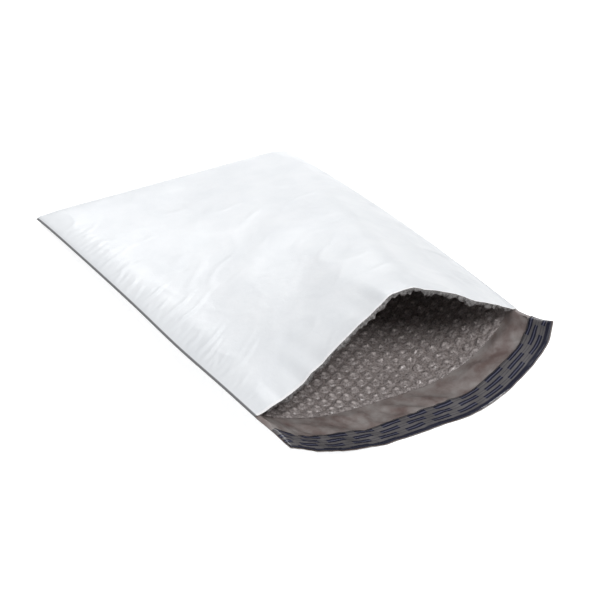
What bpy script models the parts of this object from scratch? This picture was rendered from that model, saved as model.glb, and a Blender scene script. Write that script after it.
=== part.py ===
"""Self-seal bubble mailer, lying open: a film pouch with a bubble lining and a peel-off strip.

Every wall is drawn first on a flat pattern, u across the pouch and v along it from the
closed end, as the sheet would be cut. The pattern is then raised on one bent surface for
the upper wall and one for the lower wall, and each layer of a wall is that surface moved
out by the layer's own depth. So film, lining and strips bend together and never meet.
Frame: +X across, the closed end at +Y, the mouth at -Y, +Z up, the floor at Z = 0.
"""
import math
import random

import bmesh
import bpy
import numpy as np
from mathutils import Vector
from mathutils.geometry import delaunay_2d_cdt

# Flat sizes of the cut and sealed mailer, in metres
FLAT_WIDTH = 0.267
POCKET_LENGTH = 0.4064
LIP_LENGTH = 0.0410
SEAL_WIDTH = 0.004

# Walls
FILM = 0.0004
LINING = 0.0040
WEB = 0.0009
GAP = 0.0003
HALF_CAVITY = 0.00025
NOSE_BUILD = 0.0010
NOSE_LENGTH = 0.014
EDGE_RISE = 0.014

# The lower wall's lining stops short of the mouth, so film alone makes the lip
LINING_SETBACK = 0.0117
LINING_SEAM_GAP = 0.003
LINING_WELD = 0.003

# Bubbles: close-packed domes, in rows across the pouch
BUBBLE_PITCH = 0.0112
BUBBLE_RING = 0.0036
LOWER_BUBBLE_ROWS = 9
UPPER_BUBBLE_ROWS = 3
BUBBLE_EDGE = 0.009
SHOULDER = 0.003

# Peel-off strip and the glue band under it, both along the lip's free edge
STRIP_WIDTH = 0.0243
STRIP_FILM = 0.0003
GLUE_FILM = 0.0003
GLUE_INSET = 0.003

# How the empty pouch stands open: how far its sides have curled up at the mouth and at
# the lip's free edge, how fast they open from the closed end, and how it leans sideways
SEAM_ANGLE_LEFT = math.radians(32.1)
SEAM_ANGLE_RIGHT = math.radians(60.3)
LIP_ANGLE_LEFT = math.radians(29.3)
LIP_ANGLE_RIGHT = math.radians(74.2)
OPENING_RATE = 0.752
MOUTH_LEAN = 0.0143
LIP_LEAN = 0.0245
BELLY_HALF = 0.0246
BELLY_SHIFT = 0.0012

# The two soft creases of the upper wall, as distances from the seams on the flat pattern
RIDGE_MOUTH = 0.1351
RIDGE_MOUTH_WIDTH = 0.0268
RIDGE_END_LEFT = 0.176
RIDGE_END_RIGHT = 0.010
RIDGE_TILT = math.radians(0.7)
CREASE_SOFTNESS = 0.009

# The seals hold the two walls together, so the upper wall flares out flat beside them
FLARE_WIDTH = 0.0303
FLARE_LEFT = math.radians(13.1)
FLARE_RIGHT = math.radians(8.5)
FLARE_SOFTNESS = 0.022

# Gathers that the side seals pull into the film
GATHER_HEIGHT = 0.0013
GATHER_HALF_WIDTH = 0.0045
GATHER_PITCH = 0.022
GATHER_LENGTH = 0.028
GATHER_STATIONS = (0.0, 0.38, 0.68, 1.0)
GATHER_PROFILE = (0.0, 1.0, 0.7, 0.0)
GATHER_CREST = 0.42
GATHERS_LEFT = 13
GATHERS_RIGHT = 8
GATHER_START = 0.075

MM = 1000.0
STEP = 2e-4
POINT_CLEAR = 0.0015
ROW_CLEAR = 0.004
TINY = 1e-7

FULL_BUILD = HALF_CAVITY + LINING + GAP
SEAL_PLANE = FULL_BUILD + FILM
INNER_HALF = FLAT_WIDTH / 2 - SEAL_WIDTH
LIP_END = POCKET_LENGTH + LIP_LENGTH
LOWER_LINING_END = POCKET_LENGTH - LINING_SETBACK
CLOSED_END_Y = LIP_END / 2
LINING_EDGE = SEAL_WIDTH + LINING_SEAM_GAP
CAVITY_EDGE = LINING_EDGE + LINING_WELD


def clear_scene():
    for item in list(bpy.data.objects):
        bpy.data.objects.remove(item, do_unlink=True)


def ease(t):
    return np.sin(np.clip(t, 0.0, 1.0) * math.pi / 2)


def blend(start, end, share):
    return start + (end - start) * share


def unit(vectors):
    return vectors / np.linalg.norm(vectors, axis=-1, keepdims=True)


# Bent surfaces

def open_share(v):
    """How far the pouch has opened at v: nothing at the closed end, all at the mouth."""
    return np.clip(v / POCKET_LENGTH, 0.0, 1.0) ** OPENING_RATE


def lip_share(v):
    return np.clip((v - POCKET_LENGTH) / LIP_LENGTH, 0.0, 1.0)


def seam_angles(v):
    """How far each side of the lower wall has curled up."""
    left = blend(SEAM_ANGLE_LEFT * open_share(v), LIP_ANGLE_LEFT, lip_share(v))
    right = blend(SEAM_ANGLE_RIGHT * open_share(v), LIP_ANGLE_RIGHT, lip_share(v))
    return left, right


# A cross-section is drawn in the plane x + i z, so that turning is multiplying

def lower_section(across, v):
    """Lower wall at one station: a flat belly, and an arc tangent to it up to each seam."""
    left, right = seam_angles(v)
    offset = across - BELLY_SHIFT
    side = np.where(offset < 0, -1.0, 1.0)
    angle = np.maximum(np.where(offset < 0, left, right), 1e-6)
    arc = INNER_HALF - side * BELLY_SHIFT - BELLY_HALF
    turn = angle * np.clip((np.abs(offset) - BELLY_HALF) / arc, 0.0, 1.0)
    radius = arc / angle
    reach = np.minimum(np.abs(offset), BELLY_HALF) + radius * np.sin(turn)
    lean = blend(MOUTH_LEAN * open_share(v), LIP_LEAN, lip_share(v))
    height = SEAL_PLANE + radius * (1 - np.cos(turn))
    return BELLY_SHIFT + side * reach + lean + 1j * height


def ridge_lines(v):
    """Distances of the two creases from the left seam's root."""
    share = np.clip(v / POCKET_LENGTH, 0.0, 1.0)
    last = 2 * INNER_HALF - RIDGE_END_RIGHT
    first_crease = blend(RIDGE_END_LEFT, RIDGE_MOUTH, share) - SEAL_WIDTH
    second_crease = blend(last, RIDGE_MOUTH + RIDGE_MOUTH_WIDTH - SEAL_WIDTH, share)
    return first_crease, second_crease


def tent(v):
    """Upper wall at one station: where it starts, where it bends, and its directions.

    Three runs span the seams: a slope up, a top and a slope down. Each slope has a
    flatter flare beside its seam, and the two slopes lean until the runs meet.
    """
    start = lower_section(-INNER_HALF * np.ones_like(v), v)
    chord = lower_section(INNER_HALF * np.ones_like(v), v) - start
    first, second = ridge_lines(v)
    opened = open_share(v)
    flare_up = np.exp(-1j * FLARE_LEFT * opened)
    flare_down = np.exp(1j * FLARE_RIGHT * opened)
    slope_up = FLARE_WIDTH * flare_up + first - FLARE_WIDTH
    slope_down = FLARE_WIDTH * flare_down + 2 * INNER_HALF - second - FLARE_WIDTH
    top = chord / np.abs(chord) * np.exp(1j * RIDGE_TILT * opened)
    base = chord - (second - first) * top
    rise, fall, span = np.abs(slope_up), np.abs(slope_down), np.abs(base)
    cosine = np.clip((rise ** 2 + span ** 2 - fall ** 2) / (2 * rise * span), -1.0, 1.0)
    climb = rise * base / span * np.exp(1j * np.arccos(cosine))
    up = climb / slope_up
    down = (base - climb) / slope_down
    bends = (FLARE_WIDTH, first, second, 2 * INNER_HALF - FLARE_WIDTH)
    return start, bends, (up * flare_up, up, top, down, down * flare_down)


def soft_ramp(t, c):
    """A ramp whose corner is rounded over a width c each side, so a crease is soft."""
    return np.where(t < -c, 0.0, np.where(t > c, t, (t + c) ** 2 / (4 * c)))


def flange_directions(v):
    """The flat side seals point midway between the two walls they join."""
    left_angle, right_angle = seam_angles(v)
    runs = tent(v)[2]
    share = 1 - lip_share(v)
    left = -np.exp(-1j * left_angle) - runs[0] * share
    right = np.exp(1j * right_angle) + runs[-1] * share
    return left / np.abs(left), right / np.abs(right)


def section(u, v, upper):
    if upper:
        start, bends, runs = tent(v)
        run = np.clip(u - SEAL_WIDTH, 0.0, 2 * INNER_HALF)
        place = start + run * runs[0]
        widths = (FLARE_SOFTNESS, CREASE_SOFTNESS, CREASE_SOFTNESS, FLARE_SOFTNESS)
        for bend, width, before, after in zip(bends, widths, runs, runs[1:]):
            place = place + soft_ramp(run - bend, width) * (after - before)
    else:
        across = np.clip(u - FLAT_WIDTH / 2, -INNER_HALF, INNER_HALF)
        place = lower_section(across, v)
    left, right = flange_directions(v)
    place = place + np.maximum(SEAL_WIDTH - u, 0.0) * left
    place = place + np.maximum(u - FLAT_WIDTH + SEAL_WIDTH, 0.0) * right
    return place.real, place.imag


def middle_surface(u, v, upper):
    """The bent surface of one wall. Lines along the pouch keep their length."""
    pocket = np.minimum(v, POCKET_LENGTH)
    x, z = section(u, pocket, upper)
    drift = x - (u - FLAT_WIDTH / 2)
    run = pocket ** 2 - (z - SEAL_PLANE) ** 2 - drift ** 2
    y = CLOSED_END_Y - np.sqrt(np.maximum(run, 0.0))
    if not upper:
        lip_x, lip_z = section(u, v, False)
        run = np.maximum(v - POCKET_LENGTH, 0.0) ** 2 - (lip_x - x) ** 2 - (lip_z - z) ** 2
        y = y - np.sqrt(np.maximum(run, 0.0))
        x, z = lip_x, lip_z
    return np.stack([x, y, z], axis=-1)


def outward(u, v, upper):
    last = POCKET_LENGTH if upper else LIP_END
    along_u = middle_surface(u + STEP, v, upper) - middle_surface(u - STEP, v, upper)
    before = np.clip(v - STEP, STEP / 10, last)
    after = np.clip(v + STEP, STEP / 10, last)
    along_v = middle_surface(u, after, upper) - middle_surface(u, before, upper)
    normal = unit(np.cross(along_u, along_v))
    return -normal if upper else normal


def build_up(u, v):
    """Depth of the film's inner face: nothing at the seals, the full lining further in."""
    edge = np.minimum(u, FLAT_WIDTH - u)
    side = ease((edge - SEAL_WIDTH) / EDGE_RISE)
    side = blend(side, 1.0, lip_share(v))
    return side * blend(NOSE_BUILD, FULL_BUILD, ease(v / NOSE_LENGTH))


def raise_layer(uv, upper, depth, nose_inset=0.0):
    """Pattern points moved out from the bent surface, and in from the closed end's nose."""
    u, v = uv[:, 0], uv[:, 1]
    place = middle_surface(u, v, upper) + outward(u, v, upper) * depth[:, None]
    place[:, 1] -= nose_inset * np.clip(1 - v / NOSE_LENGTH, 0.0, 1.0)
    return place


# Flat patterns

class Pattern:
    """Points and triangles on the flat pattern, in metres."""

    def __init__(self, points, lines):
        index = {}
        coords = []

        def number(point):
            key = (round(point[0] * 1e7), round(point[1] * 1e7))
            if key not in index:
                index[key] = len(coords)
                coords.append(Vector((point[0] * MM, point[1] * MM)))
            return index[key]

        for point in points:
            number(point)
        edges = set()
        for line in lines:
            chain = [number(point) for point in line]
            edges.update((a, b) for a, b in zip(chain, chain[1:]) if a != b)
        result = delaunay_2d_cdt(coords, sorted(edges), [], 0, 1e-5)
        self.uv = np.array([[p.x / MM, p.y / MM] for p in result[0]])
        self.faces = [tuple(face) for face in result[2]]

    def keep(self, inside):
        """Faces whose middle lies in a region."""
        return [face for face in self.faces if inside(*self.uv[list(face)].mean(axis=0))]

    def along(self, axis, value, start, end):
        """Points on one straight line of the pattern, in order."""
        other = 1 - axis
        on_line = np.abs(self.uv[:, axis] - value) < TINY * 10
        within = (self.uv[:, other] > start - TINY * 10) & (self.uv[:, other] < end + TINY * 10)
        found = np.nonzero(on_line & within)[0]
        return sorted(found.tolist(), key=lambda i: self.uv[i, other])


def spread(start, end, longest):
    """Even stations from start up to end, without the end itself."""
    count = max(1, math.ceil((end - start) / longest))
    return [start + (end - start) * i / count for i in range(count)]


def pouch_rows():
    tail = [LOWER_LINING_END, POCKET_LENGTH]
    return [0.0, NOSE_LENGTH / 3] + spread(NOSE_LENGTH, LOWER_LINING_END, 0.030) + tail


def lip_rows():
    strip = LIP_END - STRIP_WIDTH
    glue = (strip + GLUE_INSET, LIP_END - GLUE_INSET)
    return [strip, glue[0], (glue[0] + glue[1]) / 2, glue[1], LIP_END]


def edge_columns():
    columns = [0.0, SEAL_WIDTH, LINING_EDGE, CAVITY_EDGE, SEAL_WIDTH + EDGE_RISE]
    return columns + [FLAT_WIDTH - u for u in reversed(columns)]


def upper_columns(v):
    first, second = (float(line) + SEAL_WIDTH for line in ridge_lines(np.float64(v)))
    c = CREASE_SOFTNESS
    inner = SEAL_WIDTH + EDGE_RISE
    columns = spread(inner, first - c, 0.035) + [first - c, first, first + c]
    if second - first > 4 * c:
        columns += [(first + second) / 2]
    columns += [second - c, second, second + c]
    if FLAT_WIDTH - inner - second > 2 * c:
        columns += spread(second + c, FLAT_WIDTH - inner, 0.035)
    low, high = inner + TINY, FLAT_WIDTH - inner - TINY
    return edge_columns() + [u for u in columns if low < u < high]


def lower_columns():
    middle = FLAT_WIDTH / 2 + BELLY_SHIFT
    left = spread(SEAL_WIDTH + EDGE_RISE, middle - BELLY_HALF, 0.016)
    right = spread(middle + BELLY_HALF, FLAT_WIDTH - SEAL_WIDTH - EDGE_RISE, 0.016)
    return edge_columns() + left[1:] + [middle - BELLY_HALF, middle] + right


def bubble_count():
    """Bubbles in a full row across the pouch."""
    return int((FLAT_WIDTH - 2 * (SEAL_WIDTH + BUBBLE_EDGE)) / BUBBLE_PITCH)


def rim_columns():
    """Columns for the lining's cut edge: one in each valley between its halved bubbles."""
    first = FLAT_WIDTH / 2 - bubble_count() / 2 * BUBBLE_PITCH
    return edge_columns() + [first + i * BUBBLE_PITCH for i in range(bubble_count() + 1)]


def gathers(seed):
    """Slanted folds that start near a side seal and run inward, as ridge end points."""
    rng = random.Random(seed)
    folds = []
    for side, count in ((1, GATHERS_LEFT), (-1, GATHERS_RIGHT)):
        for i in range(count):
            v = GATHER_START + (i + rng.uniform(-0.22, 0.22)) * GATHER_PITCH
            if side < 0:
                v += 1.5 * GATHER_PITCH
            length = GATHER_LENGTH * rng.uniform(0.6, 1.3)
            slant = rng.uniform(0.1, 0.45) * length
            start = (LINING_EDGE if side > 0 else FLAT_WIDTH - LINING_EDGE, v)
            end = (start[0] + side * length, v + slant)
            folds.append((start, end, rng.uniform(0.7, 1.2)))
    return [fold for fold in folds if fold[1][1] < LOWER_LINING_END - GATHER_PITCH / 2]


def gather_frame(fold):
    start, end, size = fold
    along = np.array(end) - np.array(start)
    length = np.linalg.norm(along)
    along = along / length
    return np.array(start), along, np.array([-along[1], along[0]]), length


def gather_points(fold, columns):
    """A gather's ridge line, its flank points, and its points that lie on columns."""
    start, along, across, length = gather_frame(fold)
    ridge = [tuple(start + along * length * share) for share in GATHER_STATIONS[1:]]
    on_columns = [fold[0]]
    for u in columns:
        run = (u - start[0]) / along[0]
        if 0 < run < length:
            ridge = [point for point in ridge if abs(point[0] - u) > POINT_CLEAR]
            on_columns.append((u, start[1] + along[1] * run))
    flanks = []
    middle = start + along * length * GATHER_CREST
    for side in (-1, 1):
        u, v = middle + across * GATHER_HALF_WIDTH * side
        near = [column for column in columns if abs(column - u) < POINT_CLEAR]
        flanks.append((near[0] if near else u, v))
    ridge = sorted(ridge + on_columns)
    return ridge, flanks, on_columns + [flank for flank in flanks if flank[0] in columns]


def gather_height(uv, folds):
    """Height of the film over its smooth form at each pattern point."""
    height = np.zeros(len(uv))
    for fold in folds:
        start, along, across, length = gather_frame(fold)
        run = (uv - start) @ along / length
        off = np.abs((uv - start) @ across) / GATHER_HALF_WIDTH
        crest = np.interp(run, GATHER_STATIONS, GATHER_PROFILE)
        height = np.maximum(height, GATHER_HEIGHT * fold[2] * crest * np.clip(1 - off, 0, 1))
    return height


def wall_pattern(upper, folds):
    """The sheet pattern that film, lining and strips of one wall share."""
    rows = pouch_rows() + ([] if upper else lip_rows())
    held = [0.0, LOWER_LINING_END, POCKET_LENGTH] + ([] if upper else lip_rows())
    rim = POCKET_LENGTH if upper else LOWER_LINING_END
    fixed = edge_columns()

    def columns(v):
        if v == rim:
            return rim_columns()
        return upper_columns(v) if upper else lower_columns()

    ridges, flanks, on_columns = [], [], []
    for fold in folds:
        ridge, flank, on_column = gather_points(fold, fixed)
        ridges.append(ridge)
        flanks += flank
        on_columns += on_column
    points = [(u, v) for v in rows for u in columns(v) if u not in fixed]
    crowded = beside_gathers(np.array(points), folds, GATHER_HALF_WIDTH * 0.8)
    points = [point for point, near in zip(points, crowded) if not near]
    lines = []
    for u in fixed:
        taken = [v for column, v in on_columns if column == u]
        free = [v for v in rows if v in held or all(abs(v - t) > ROW_CLEAR for t in taken)]
        lines.append([(u, v) for v in sorted(taken + free)])
    lines += [[(u, v) for u in sorted(columns(v))] for v in held if v <= rows[-1]]
    return Pattern(points + flanks, lines + ridges)


def beside_gathers(uv, folds, reach):
    """Which grid points lie so near a gather that they would spoil its ridge."""
    near = np.zeros(len(uv), dtype=bool)
    for fold in folds:
        start, along, across, length = gather_frame(fold)
        run = (uv - start) @ along
        off = np.abs((uv - start) @ across)
        near |= (run > -reach) & (run < length + reach) & (off < reach)
    return near & (uv[:, 1] > TINY) & (uv[:, 1] < LOWER_LINING_END - TINY)


# Bubble lining, seen from inside

def bubble_centres(end, rows):
    """Close-packed centres. The row at the cut edge is halved by it."""
    step = BUBBLE_PITCH * math.sqrt(3) / 2
    count = bubble_count()
    centres = []
    for row in range(rows):
        shift = BUBBLE_PITCH / 2 if row % 2 else 0.0
        for i in range(count - row % 2):
            u = FLAT_WIDTH / 2 + (i - (count - 1) / 2) * BUBBLE_PITCH + shift
            centres.append((u, end - row * step))
    return centres


def ring(centre, radius, start):
    turns = [start + i * math.pi / 3 for i in range(6)]
    return [(centre[0] + radius * math.cos(t), centre[1] + radius * math.sin(t)) for t in turns]


def cut_ring(points, end):
    """A closed ring, cut straight where it passes the sheet's end."""
    closed = points + points[:1]
    kept = []
    for a, b in zip(closed, closed[1:]):
        if a[1] <= end + TINY:
            kept.append((a[0], min(a[1], end)))
        if (a[1] - end) * (b[1] - end) < -TINY ** 2 and abs(a[1] - end) > TINY:
            share = (end - a[1]) / (b[1] - a[1])
            kept.append((blend(a[0], b[0], share), end))
    return kept + kept[:1]


def bubble_height(uv, centres):
    """Domes of height one over each centre, zero between them."""
    centres = np.array(centres)
    gap = np.linalg.norm(uv[:, None, :] - centres[None, :, :], axis=2).min(axis=1)
    return np.sqrt(np.clip(1 - (gap / (BUBBLE_PITCH / 2)) ** 2, 0.0, 1.0))


def lining_pattern(upper, end, rows):
    """Inner face of the lining: bubbles near the mouth, the wall's plain top further in."""
    centres = bubble_centres(end, rows)
    zone = end - (rows - 1) * BUBBLE_PITCH * math.sqrt(3) / 2 - BUBBLE_PITCH
    rings, points = [], []
    for centre in centres:
        rings.append(cut_ring(ring(centre, BUBBLE_PITCH / math.sqrt(3), math.pi / 6), end))
        rings.append(cut_ring(ring(centre, BUBBLE_RING, math.pi / 6), end))
        points.append(centre)
    sides = [LINING_EDGE, CAVITY_EDGE]
    sides += [FLAT_WIDTH - u for u in sides]
    plain = [0.0, NOSE_LENGTH] + spread(NOSE_LENGTH, zone, 0.045)[1:] + [zone - SHOULDER / 2]
    low, high = CAVITY_EDGE + TINY, FLAT_WIDTH - CAVITY_EDGE - TINY
    for v in plain:
        columns = upper_columns(v) if upper else lower_columns()
        points += [(u, v) for u in columns if low < u < high]
    stations = plain + spread(zone, end, 2 * BUBBLE_PITCH) + [LOWER_LINING_END, end]
    stations = sorted({round(v, 7): v for v in stations}.values())
    lines = [[(u, v) for v in stations] for u in sides]
    middle = sorted({u for r in rings for u, v in r if abs(v - end) < TINY})
    lines.append([(u, end) for u in [sides[0], sides[1]] + middle + [sides[3], sides[2]]])
    if end > LOWER_LINING_END + TINY:
        lines.append([(sides[0], LOWER_LINING_END), (sides[1], LOWER_LINING_END)])
        lines.append([(sides[3], LOWER_LINING_END), (sides[2], LOWER_LINING_END)])
    return Pattern(points, lines + rings), centres, zone


def lining_depth(uv, centres, zone):
    """Depth of the lining's inner face, a web between bubbles near the mouth."""
    top = np.full(len(uv), HALF_CAVITY)
    web = build_up(uv[:, 0], uv[:, 1]) - GAP - WEB
    web = np.maximum(web, HALF_CAVITY)
    share = bubble_height(uv, centres)
    edge = np.minimum(uv[:, 0], FLAT_WIDTH - uv[:, 0])
    bubbled = (uv[:, 1] > zone - TINY) & (edge > CAVITY_EDGE + TINY)
    return np.where(bubbled, blend(web, top, share), top)


# Closed bodies

class Body:
    """Vertices and faces of one closed piece, welded when it is finished."""

    def __init__(self):
        self.points = []
        self.faces = []

    def layer(self, pattern, places, inside=None):
        start = len(self.points)
        self.points += [tuple(p) for p in places]
        faces = pattern.faces if inside is None else pattern.keep(inside)
        self.faces += [tuple(start + i for i in face) for face in faces]
        return Layer(pattern, start)

    def stitch(self, first, second):
        """Triangles between two chains of (position along the chain, vertex)."""
        i = j = 0
        while i < len(first) - 1 or j < len(second) - 1:
            diagonals = [math.inf, math.inf]
            if i < len(first) - 1:
                diagonals[0] = abs(first[i + 1][0] - second[j][0])
            if j < len(second) - 1:
                diagonals[1] = abs(second[j + 1][0] - first[i][0])
            if diagonals[0] <= diagonals[1]:
                self.faces.append((first[i][1], first[i + 1][1], second[j][1]))
                i += 1
            else:
                self.faces.append((first[i][1], second[j + 1][1], second[j][1]))
                j += 1

    def finish(self, name, material):
        mesh = bpy.data.meshes.new(name)
        mesh.from_pydata(self.points, [], self.faces)
        shape = bmesh.new()
        shape.from_mesh(mesh)
        bmesh.ops.remove_doubles(shape, verts=shape.verts, dist=1e-6)
        loose = [vert for vert in shape.verts if not vert.link_faces]
        bmesh.ops.delete(shape, geom=loose, context='VERTS')
        bmesh.ops.recalc_face_normals(shape, faces=shape.faces)
        shape.to_mesh(mesh)
        shape.free()
        mesh.shade_smooth()
        mesh.set_sharp_from_angle(angle=math.radians(40))
        mesh.materials.append(material)
        item = bpy.data.objects.new(name, mesh)
        bpy.context.scene.collection.objects.link(item)
        return item


class Layer:
    """One raised layer of a body, which knows its vertices by pattern position."""

    def __init__(self, pattern, start):
        self.pattern = pattern
        self.start = start

    def along_u(self, v, start, end):
        return self.chain(1, v, start, end)

    def along_v(self, u, start, end):
        return self.chain(0, u, start, end)

    def chain(self, axis, value, start, end):
        found = self.pattern.along(axis, value, start, end)
        return [(self.pattern.uv[i, 1 - axis], self.start + i) for i in found]


def pouch(body, short, long, edge, weld, short_end, long_end):
    """Join the layers of a pouch whose one wall runs on past the other at the mouth.

    short and long are (outer, inner) layers. Between the edge and weld columns the two
    walls are one, so the hollow starts at the weld.
    """
    far_edge, far_weld = FLAT_WIDTH - edge, FLAT_WIDTH - weld
    body.stitch(short[0].along_u(0.0, edge, far_edge), long[0].along_u(0.0, edge, far_edge))
    body.stitch(short[1].along_u(0.0, weld, far_weld), long[1].along_u(0.0, weld, far_weld))
    for u, root in ((edge, weld), (far_edge, far_weld)):
        corner = long[1].along_v(u, short_end, short_end)[0][1]
        upper_side = short[0].along_v(u, 0.0, short_end) + [(short_end + TINY, corner)]
        lower_side = long[0].along_v(u, 0.0, short_end)
        lower_side[-1] = (short_end + 2 * TINY, lower_side[-1][1])
        body.stitch(upper_side, lower_side)
        body.stitch(long[1].along_v(u, short_end, long_end),
                    long[0].along_v(u, short_end, long_end))
        body.stitch(short[1].along_v(root, 0.0, short_end),
                    long[1].along_v(root, 0.0, short_end))
        span = (min(u, root), max(u, root))
        body.stitch(short[0].along_u(short_end, *span), long[1].along_u(short_end, *span))
    rim = short[1].along_u(short_end, weld, far_weld)
    first = long[1].along_u(short_end, weld, weld)[0][1]
    last = long[1].along_u(short_end, far_weld, far_weld)[0][1]
    rim = [(weld - TINY, first)] + rim + [(far_weld + TINY, last)]
    body.stitch(short[0].along_u(short_end, weld, far_weld), rim)
    body.stitch(long[0].along_u(long_end, edge, far_edge),
                long[1].along_u(long_end, edge, far_edge))


def between(low, high):
    return lambda u, v: low < u < FLAT_WIDTH - low and v < high


def outer_film(patterns, folds, material):
    """One folded film, heat sealed along both sides, with its lower wall left longer."""
    body = Body()
    layers = []
    for upper in (True, False):
        pattern = patterns[upper]
        uv = pattern.uv
        depth = build_up(uv[:, 0], uv[:, 1]) + gather_height(uv, folds[upper])
        outside = body.layer(pattern, raise_layer(uv, upper, depth + FILM))

        def lined(u, v, upper=upper):
            in_pocket = SEAL_WIDTH < u < FLAT_WIDTH - SEAL_WIDTH and v < POCKET_LENGTH
            return in_pocket or (not upper and v > POCKET_LENGTH)

        inside = body.layer(pattern, raise_layer(uv, upper, depth, FILM), lined)
        layers.append((outside, inside))
    pouch(body, layers[0], layers[1], 0.0, SEAL_WIDTH, POCKET_LENGTH, LIP_END)
    return body.finish("outer_film", material)


def bubble_liner(patterns, material):
    """The bubble sheet, folded at the closed end and sealed to itself at the sides."""
    body = Body()
    layers = []
    for upper in (False, True):
        end = POCKET_LENGTH if upper else LOWER_LINING_END
        pattern = patterns[upper]
        uv = pattern.uv
        depth = build_up(uv[:, 0], uv[:, 1]) - GAP
        places = raise_layer(uv, upper, depth, FILM + GAP)
        outside = body.layer(pattern, places, between(LINING_EDGE, end))
        rows = UPPER_BUBBLE_ROWS if upper else LOWER_BUBBLE_ROWS
        pattern, centres, zone = lining_pattern(upper, end, rows)
        uv = pattern.uv
        places = raise_layer(uv, upper, lining_depth(uv, centres, zone), FILM + GAP + WEB)

        def open_side(u, v):
            low = LINING_EDGE if v > LOWER_LINING_END else CAVITY_EDGE
            return low < u < FLAT_WIDTH - low

        inside = body.layer(pattern, places, open_side)
        layers.append((outside, inside))
    pouch(body, layers[0], layers[1], LINING_EDGE, CAVITY_EDGE, LOWER_LINING_END, POCKET_LENGTH)
    return body.finish("bubble_liner", material)


def band(name, pattern, material, side, rows, clearance, thickness):
    """A thin band laid on the lip, from one side column to its mirror, between two rows."""
    body = Body()
    far = FLAT_WIDTH - side
    uv = pattern.uv
    base = build_up(uv[:, 0], uv[:, 1])

    def inside(u, v):
        return side < u < far and rows[0] < v < rows[1]

    low = body.layer(pattern, raise_layer(uv, False, base - clearance), inside)
    high = body.layer(pattern, raise_layer(uv, False, base - clearance - thickness), inside)
    for u in (side, far):
        body.stitch(low.along_v(u, *rows), high.along_v(u, *rows))
    for v in rows:
        body.stitch(low.along_u(v, side, far), high.along_u(v, side, far))
    return body.finish(name, material)


def material(name, colour, roughness, metallic=0.0):
    result = bpy.data.materials.new(name)
    result.use_nodes = True
    shader = result.node_tree.nodes["Principled BSDF"]
    shader.inputs["Base Color"].default_value = (*colour, 1.0)
    shader.inputs["Roughness"].default_value = roughness
    shader.inputs["Metallic"].default_value = metallic
    return result


def centre_footprint(pieces):
    """Move every piece alike, so the origin lies under the middle of the whole."""
    corners = np.array([vert.co for piece in pieces for vert in piece.data.vertices])
    middle = (corners.min(axis=0) + corners.max(axis=0)) / 2
    for piece in pieces:
        for vert in piece.data.vertices:
            vert.co.x -= middle[0]
            vert.co.y -= middle[1]


def main():
    clear_scene()
    folds = {True: gathers(7), False: gathers(19)}
    patterns = {upper: wall_pattern(upper, folds[upper]) for upper in (True, False)}
    white = material("white_film", (0.82, 0.84, 0.86), 0.32)
    grey = material("bubble_film", (0.46, 0.44, 0.41), 0.30)
    glue = material("hot_melt_glue", (0.55, 0.52, 0.44), 0.45)
    release = material("strip_film", (0.30, 0.30, 0.32), 0.22)
    lip = patterns[False]
    strip_rows = (LIP_END - STRIP_WIDTH, LIP_END)
    glue_rows = (strip_rows[0] + GLUE_INSET, strip_rows[1] - GLUE_INSET)
    centre_footprint([
        outer_film(patterns, folds, white),
        bubble_liner(patterns, grey),
        band("adhesive_strip", lip, glue, LINING_EDGE, glue_rows, GAP, GLUE_FILM),
        band("release_strip", lip, release, 0.0, strip_rows, 2 * GAP + GLUE_FILM, STRIP_FILM),
    ])


main()
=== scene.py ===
# %% [markdown]
# # An open bubble mailer, from its flat pattern to the finished picture
# The object is a padded envelope: white plastic film outside, taupe inside, with a sheet
# of air bubbles as its lining. It lies on a white table with its mouth open, and the lip
# still wears its printed peel-off strip. The solids of the model are loaded first, as a
# frame. Each of them is then replaced by a finer piece that lies in the same place.

# %% Load the frame
import math
import random
from functools import partial

import bmesh
import bpy
import numpy as np
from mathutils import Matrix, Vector, noise


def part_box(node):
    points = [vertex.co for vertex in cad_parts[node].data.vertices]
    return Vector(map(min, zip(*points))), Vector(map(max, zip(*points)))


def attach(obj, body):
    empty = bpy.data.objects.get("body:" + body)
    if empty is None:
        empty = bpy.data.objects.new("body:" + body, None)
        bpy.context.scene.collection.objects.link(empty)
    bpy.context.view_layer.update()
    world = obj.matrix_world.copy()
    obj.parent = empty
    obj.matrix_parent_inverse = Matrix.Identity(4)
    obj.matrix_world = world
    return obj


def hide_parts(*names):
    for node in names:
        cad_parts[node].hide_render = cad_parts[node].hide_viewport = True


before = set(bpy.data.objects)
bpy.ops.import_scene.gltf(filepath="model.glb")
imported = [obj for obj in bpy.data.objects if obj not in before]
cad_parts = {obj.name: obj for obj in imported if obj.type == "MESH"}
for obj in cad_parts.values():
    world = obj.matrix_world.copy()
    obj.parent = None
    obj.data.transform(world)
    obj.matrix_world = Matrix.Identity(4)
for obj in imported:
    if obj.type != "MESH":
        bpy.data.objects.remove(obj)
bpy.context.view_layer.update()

# %% [markdown]
# ## Camera, light and table
# The photograph was taken with a long lens from above the mouth's left corner. A far
# camera with a long lens keeps the parallel edges nearly parallel, as they are there.
# The table is white. Its shader glows, but only for the rays that show it, straight or
# in a gloss, so it reads as white paper and keeps the envelope's shadow, while the light
# on the envelope stays at a plain level.

# %% Camera
CAMERA_AZIMUTH = math.radians(-28.8)
CAMERA_HEIGHT = math.radians(33.7)
CAMERA_DISTANCE = 1.696
CAMERA_LENS = 116.4
LOOK_AT = Vector((0.0179, -0.0104, 0.0))


def aim(item, target, azimuth, height, distance):
    """Place a camera or lamp on a sphere round a target, looking at it."""
    flat = math.cos(height)
    back = Vector((math.sin(azimuth) * flat, -math.cos(azimuth) * flat, math.sin(height)))
    item.location = target + back * distance
    item.rotation_euler = back.to_track_quat("Z", "Y").to_euler()


def new_object(name, data):
    item = bpy.data.objects.new(name, data)
    bpy.context.scene.collection.objects.link(item)
    return item


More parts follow.
